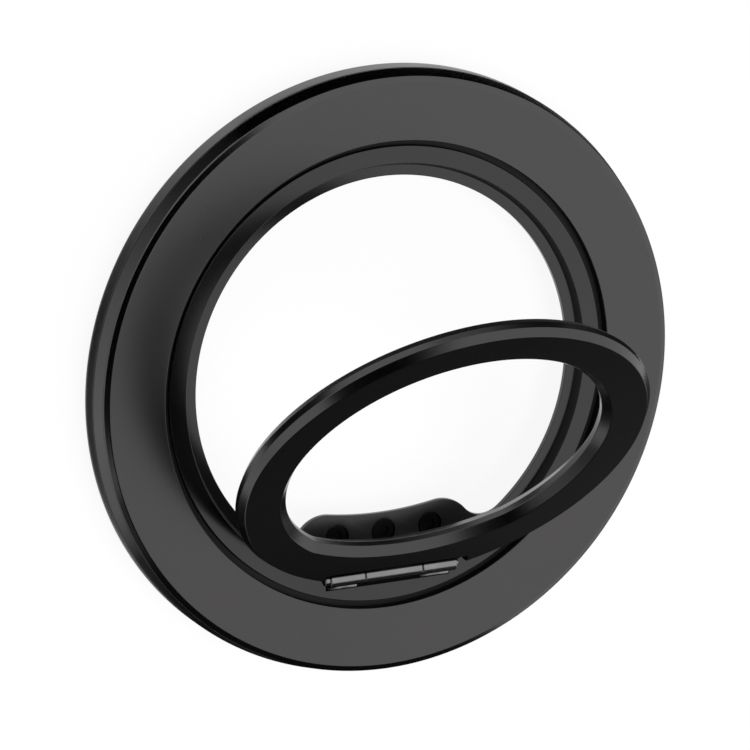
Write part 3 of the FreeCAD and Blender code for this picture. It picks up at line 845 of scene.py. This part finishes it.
def set_in_row(obj, count, pitch, start, material):
    """Runs the row tree on one fastener and keeps the result as a plain mesh."""
    tree = row_tree()
    tool = obj.modifiers.new("row", "NODES")
    tool.node_group = tree
    values = {"Count": count, "Pitch": pitch, "Start": start, "Finish": material}
    for item in tree.interface.items_tree:
        if item.in_out == "INPUT" and item.name in values:
            tool[item.identifier] = values[item.name]
    settle(obj)


class RINGMOUNT_OT_screws(bpy.types.Operator):
    """Three black socket screws in the tab, set in a row by geometry nodes"""
    bl_idname = "ringmount.screws"
    bl_label = "Hinge Screws"

    def execute(self, context):
        s = context.scene.ringmount_hinge
        c = context.scene.ringmount_carrier
        low, high = SCREWS_LOW[2], SCREWS_HIGH[2]
        seat = CARRIER_LOW[2] + c.lip_thickness - c.counterbore_depth
        screw = turned_solid("hinge_screws_fine", [
            (0, high, 0), (s.screw_head, high, FINE_EDGE), (s.screw_head, seat, 0),
            (s.screw_shank, seat, 0), (s.screw_shank, low, FINE_EDGE), (0, low, 0),
        ], BORE_STEPS)
        corners = [math.radians(60 * k) for k in range(6)]
        hexagon = [(s.socket * math.cos(a), s.socket * math.sin(a)) for a in corners]
        combine(screw, prism("socket", hexagon, high - SOCKET_DEPTH, high + OVERCUT), "DIFFERENCE")
        material = finish("black_oxide")
        start = (-c.screw_pitch, -(c.hole - c.screw_inset), 0.0)
        set_in_row(screw, SCREW_COUNT, c.screw_pitch, start, material)
        dress(screw, material, "carrier", "hinge_screws")
        return {"FINISHED"}


def swelling(s):
    """How far the finger ring's hole is narrower at an azimuth, along a flatter arc at the hinge."""
    inner = s.outer - s.width
    near = s.swell_reach - inner
    rise = -math.sqrt(inner ** 2 - s.swell_half ** 2) - near
    radius = (s.swell_half ** 2 + rise ** 2) / (2 * rise)
    centre = near + radius

    def inward(angle):
        along = centre * math.sin(angle)
        return max(0.0, inner - along - math.sqrt(along ** 2 - centre ** 2 + radius ** 2))

    return inward


class RINGMOUNT_OT_finger_ring(bpy.types.Operator):
    """Bevelled finger ring, wider at the hinge, notched round the knuckles and recessed for the leaf"""
    bl_idname = "ringmount.finger_ring"
    bl_label = "Finger Ring"

    def execute(self, context):
        s = context.scene.ringmount_ring
        h = context.scene.ringmount_hinge
        front = HINGE_POINT.z + s.rise
        back = front - s.thickness
        inner = s.outer - s.width
        soft = s.softness
        ring = turned("finger_ring_fine", [
            (inner + s.inner_edge, front, soft),
            (s.outer - s.edge_width, front, soft),
            (s.outer, front - s.edge_depth, soft),
            (s.outer, back + s.edge_depth, soft),
            (s.outer - s.edge_width, back, soft),
            (inner + s.inner_edge, back, soft),
            (inner, back + s.inner_edge, soft),
            (inner, front - s.inner_edge, soft),
        ], RING_STEPS, swelling(s))
        half = -PIN_LOW[0] + s.notch_end
        top = HINGE_POINT.y + h.barrel + s.notch_room
        notch = block("notch", (-half, -s.outer - OVERCUT, back - OVERCUT), (half, top, front + OVERCUT))
        combine(ring, notch, "DIFFERENCE")
        leaf = h.middle - h.leaf_inset + CLOSE_FIT
        reach = HINGE_POINT.y + h.leaf_reach + CLOSE_FIT
        recess = block(
            "leaf_recess", (-leaf, HINGE_POINT.y, back - OVERCUT), (leaf, reach, back + h.leaf_thickness))
        combine(ring, recess, "DIFFERENCE")
        ring.data.transform(OPENED)
        dress(ring, finish("polished_black"), "ring", "finger_ring")
        return {"FINISHED"}


class RINGMOUNT_OT_leaf(bpy.types.Operator):
    """Middle knuckle with its leaf, and two rivets set in a row by geometry nodes"""
    bl_idname = "ringmount.leaf"
    bl_label = "Ring Leaf and Rivets"

    def execute(self, context):
        s = context.scene.ringmount_hinge
        r = context.scene.ringmount_ring
        steel = finish("satin_steel")
        y, z = HINGE_POINT.y, HINGE_POINT.z
        back = z + r.rise - r.thickness
        top = back + s.leaf_thickness
        half = s.middle - s.leaf_inset
        notch = y + s.barrel + r.notch_room
        leaf = across("ring_leaf_fine", [
            (y + s.leaf_heel, back), (y + s.leaf_reach, back), (y + s.leaf_reach, top),
            (notch, top), (y + s.barrel, z), (y, z), (y, z - s.barrel),
        ], -half, half)
        bevelled(leaf, CRISP_EDGE)
        knuckle = bar("knuckle", s.barrel, -s.middle, s.middle, ON_HINGE, KNUCKLE_EDGE, BAR_STEPS)
        combine(leaf, knuckle, "UNION")
        bore = bar("bore", s.bore, -s.middle - OVERCUT, s.middle + OVERCUT, ON_HINGE)
        combine(leaf, bore, "DIFFERENCE")
        leaf.data.transform(OPENED)
        dress(leaf, steel, "ring", "ring_leaf")
        rivet_top = top + s.rivet_grip
        rivet = turned_solid("leaf_rivets_fine", [
            (0, rivet_top, 0), (s.rivet, rivet_top, 0), (s.rivet, back, SOFT_EDGE), (0, back, 0),
        ], RIVET_STEPS)
        row_y = (notch + y + s.leaf_reach) / 2
        set_in_row(rivet, RIVET_COUNT, s.rivet_pitch, (-s.rivet_pitch / 2, row_y, 0.0), steel)
        rivet.data.transform(OPENED)
        dress(rivet, steel, "ring", "leaf_rivets")
        return {"FINISHED"}


# Stage: floor and light, in metres and watts
FLOOR_HALF = 3.0
FLOOR_TOP = -0.00005
FLOOR_UNDER = -0.002
FLOOR_GLOW = 0.91
WORLD_FILL = 0.55
WHITE = (1.0, 1.0, 1.0, 1.0)
LAMP_PLACE = Vector((0.25, -0.2, 0.8))
LAMP_SIZE = 0.6
LAMP_POWER = 6.0

# Camera: millimetres of lens and sensor, shift, axes and place in the frame, and a last turn about Z
CAMERA_LENS = 577.5
CAMERA_SENSOR = 36.0
CAMERA_SHIFT = (-0.0011, 0.0005)
CAMERA_RIGHT = Vector((0.90977, -0.02326, 0.41445))
CAMERA_UP = Vector((0.14511, 0.95326, -0.26504))
CAMERA_BACK = Vector((-0.38892, 0.30127, 0.87062))
CAMERA_PLACE = Vector((-0.434655, 0.335955, 0.974232))
CAMERA_TURN = math.radians(1.1)

# Cards that paint grey and dark reflections, and close round the rim the floor's contact shade as it is
# reflected: name, (azimuth in degrees, tone) stops, (radius, height) of both edges
CARDS = (
    ("camera_card", ((98, 0.005), (208, 0.005)), (0.2, 0.156), (0.06, 0.29)),
    ("camera_side_card", ((208, 0.005), (226, 0.005)), (0.175, 0.181), (0.04, 0.29)),
    ("camera_near_card", ((226, 0.005), (285, 0.005)), (0.185, 0.155), (0.04, 0.29)),
    ("near_card", ((212, 0.9), (230, 0.5), (243, 0.03), (305, 0.03)), (0.2, 0.0), (0.2, 0.19)),
    ("near_rim_card", ((186, 0.9), (203, 0.6), (214, 0.08), (226, 0.012), (335, 0.05)),
     (0.0295, 0.0002), (0.05, 0.0002)),
    ("near_floor_card", ((262, 0.065), (285, 0.08), (300, 0.13), (335, 0.13)),
     (0.05, 0.0002), (0.2, 0.0002)),
    ("far_floor_card", ((25, 0.08), (60, 0.01), (118, 0.005)), (0.03, 0.0002), (0.2, 0.0002)),
    ("far_fade_card", ((118, 0.005), (135, 0.14), (160, 0.7), (186, 0.9)),
     (0.0306, 0.0002), (0.036, 0.0002)),
    ("far_low_card", ((35, 0.03), (100, 0.03)), (0.2, 0.0), (0.2, 0.06)),
    ("left_floor_card", ((140, 0.015), (196, 0.015)), (0.04, 0.0002), (0.14, 0.0002)),
    ("right_floor_card", ((-8, 0.03), (60, 0.03)), (0.033, 0.0002), (0.11, 0.0002)),
    ("right_near_floor_card", ((-45, 0.03), (-8, 0.03)), (0.031, 0.0003), (0.06, 0.0003)),
    ("right_rim_card", ((15, 0.06), (45, 0.12), (80, 0.9)), (0.0291, 0.0004), (0.0299, 0.0004)),
    ("left_rim_card",
     ((122, 0.91), (135, 0.55), (150, 0.18), (162, 0.05), (190, 0.07), (208, 0.2), (232, 0.01)),
     (0.0291, 0.0004), (0.0303, 0.0004)),
)


def seen_directly(tree):
    """One for rays from the camera, from gloss and through clear pieces, and nought for the rest."""
    path = add(tree, "ShaderNodeLightPath").outputs
    seen = maths(tree, "MAXIMUM", path["Is Camera Ray"], path["Is Glossy Ray"])
    return maths(tree, "MAXIMUM", seen, path["Is Transmission Ray"])


def pale_floor_material(tint):
    """Pale floor that reads as white to the camera and in reflections, and keeps the object's shadow."""
    material = bpy.data.materials.new("pale_floor")
    tree = emptied(material)
    plain = add(tree, "ShaderNodeBsdfDiffuse", {"Color": (*tint, 1.0)})
    white = add(tree, "ShaderNodeEmission", {"Strength": 1.0})
    mix = add(tree, "ShaderNodeMixShader", {
        "Fac": maths(tree, "MULTIPLY", seen_directly(tree), FLOOR_GLOW),
        1: plain.outputs["BSDF"],
        2: white.outputs["Emission"],
    })
    add(tree, "ShaderNodeOutputMaterial", {"Surface": mix.outputs["Shader"]})
    return material


def studio_world(scene):
    """White round the object for camera and gloss, and a plain soft level of light on it."""
    scene.world = bpy.data.worlds.new("studio")
    tree = emptied(scene.world)
    fill = add(tree, "ShaderNodeBackground", {"Color": WHITE, "Strength": WORLD_FILL})
    white = add(tree, "ShaderNodeBackground", {"Color": WHITE, "Strength": 1.0})
    mix = add(tree, "ShaderNodeMixShader", {
        "Fac": seen_directly(tree), 1: fill.outputs["Background"], 2: white.outputs["Background"],
    })
    add(tree, "ShaderNodeOutputWorld", {"Surface": mix.outputs["Shader"]})


def card_material():
    """Card that gives an even grey in reflections, taken from the mesh."""
    material = bpy.data.materials.new("graded_card")
    tree = emptied(material)
    tone = add(tree, "ShaderNodeAttribute", attribute_name="tone")
    glow = add(tree, "ShaderNodeEmission", {"Strength": tone.outputs["Fac"]})
    add(tree, "ShaderNodeOutputMaterial", {"Surface": glow.outputs["Emission"]})
    return material


def card(name, stops, near, far, material):
    """Card round the object, graded through its stops and seen only in reflections, where it paints a
    grey or dark reflection.
    """
    bm = bmesh.new()
    tone = bm.verts.layers.float.new("tone")
    points = [
        (start + (end - start) * k / CARD_STEPS, first + (last - first) * k / CARD_STEPS)
        for (start, first), (end, last) in zip(stops, stops[1:]) for k in range(CARD_STEPS)
    ]
    rows = []
    for azimuth, grey in points + [stops[-1]]:
        angle = math.radians(azimuth)
        row = [bm.verts.new((r * math.cos(angle), r * math.sin(angle), z)) for r, z in (near, far)]
        for vert in row:
            vert[tone] = grey
        rows.append(row)
    for here, after in zip(rows, rows[1:]):
        bm.faces.new((here[0], after[0], after[1], here[1]))
    obj = linked(name, meshed(name, bm))
    obj.data.materials.append(material)
    obj.visible_camera = False
    obj.visible_diffuse = False
    obj.visible_shadow = False


def soft_lamp(name, place, size, power):
    """Square soft lamp aimed at the object, not seen in its reflections."""
    lamp = bpy.data.lights.new(name, "AREA")
    lamp.shape = "SQUARE"
    lamp.size = size
    lamp.energy = power
    obj = linked(name, lamp)
    obj.location = place
    obj.rotation_euler = (-place).to_track_quat("-Z", "Y").to_euler()
    obj.visible_glossy = False


def studio_camera(scene):
    """Camera at the photograph's viewing angle."""
    lens = bpy.data.cameras.new("camera")
    lens.sensor_width = CAMERA_SENSOR
    lens.lens = CAMERA_LENS
    lens.shift_x, lens.shift_y = CAMERA_SHIFT
    camera = linked("camera", lens)
    place = Matrix((CAMERA_RIGHT, CAMERA_UP, CAMERA_BACK)).transposed().to_4x4()
    place.translation = CAMERA_PLACE
    camera.matrix_world = Matrix.Rotation(CAMERA_TURN, 4, "Z") @ place
    scene.camera = camera


class RINGMOUNT_OT_stage(bpy.types.Operator):
    """Pale floor, soft light, cards for the reflections and the camera"""
    bl_idname = "ringmount.stage"
    bl_label = "Stage"

    def execute(self, context):
        scene = context.scene
        scene.view_settings.view_transform = "Standard"
        studio_world(scene)
        low, high = (-FLOOR_HALF, -FLOOR_HALF, FLOOR_UNDER), (FLOOR_HALF, FLOOR_HALF, FLOOR_TOP)
        floor = block("floor", low, high)
        floor.data.materials.append(pale_floor_material(scene.ringmount_finishes.floor))
        graded = card_material()
        for name, stops, near, far in CARDS:
            card(name, stops, near, far, graded)
        soft_lamp("top_softbox", LAMP_PLACE, LAMP_SIZE, LAMP_POWER)
        studio_camera(scene)
        return {"FINISHED"}


# Panel and registration
class RINGMOUNT_PT_panel(bpy.types.Panel):
    """Steps and sizes of the ring mount"""
    bl_idname = "RINGMOUNT_PT_panel"
    bl_label = "Ring Mount"
    bl_space_type = "VIEW_3D"
    bl_region_type = "UI"
    bl_category = "Ring Mount"

    def draw(self, context):
        column = self.layout.column(align=True)
        for step in STEPS:
            column.operator(step.bl_idname)
        for name, _ in SETTINGS:
            group = getattr(context.scene, name)
            box = self.layout.box()
            box.label(text=group.bl_rna.description)
            for key in group.__annotations__:
                box.prop(group, key)


STEPS = (
    RINGMOUNT_OT_housing,
    RINGMOUNT_OT_pad,
    RINGMOUNT_OT_magnets,
    RINGMOUNT_OT_carrier,
    RINGMOUNT_OT_hinge,
    RINGMOUNT_OT_screws,
    RINGMOUNT_OT_finger_ring,
    RINGMOUNT_OT_leaf,
    RINGMOUNT_OT_stage,
)
SETTINGS = (
    ("ringmount_housing", HousingSizes),
    ("ringmount_carrier", CarrierSizes),
    ("ringmount_hinge", HingeSizes),
    ("ringmount_ring", FingerRingSizes),
    ("ringmount_finishes", FinishColours),
)


def register():
    """Registers the settings, the steps and the panel."""
    for name, group in SETTINGS:
        bpy.utils.register_class(group)
        setattr(bpy.types.Scene, name, bpy.props.PointerProperty(type=group))
    for step in STEPS:
        bpy.utils.register_class(step)
    bpy.utils.register_class(RINGMOUNT_PT_panel)


def unregister():
    """Takes the panel, the steps and the settings out again."""
    bpy.utils.unregister_class(RINGMOUNT_PT_panel)
    for step in reversed(STEPS):
        bpy.utils.unregister_class(step)
    for name, group in reversed(SETTINGS):
        delattr(bpy.types.Scene, name)
        bpy.utils.unregister_class(group)


def main():
    """Builds every piece and the stage."""
    register()
    bpy.ops.ringmount.housing()
    bpy.ops.ringmount.pad()
    bpy.ops.ringmount.magnets()
    bpy.ops.ringmount.carrier()
    bpy.ops.ringmount.hinge()
    bpy.ops.ringmount.screws()
    bpy.ops.ringmount.finger_ring()
    bpy.ops.ringmount.leaf()
    bpy.ops.ringmount.stage()


if __name__ == "__main__":
    main()
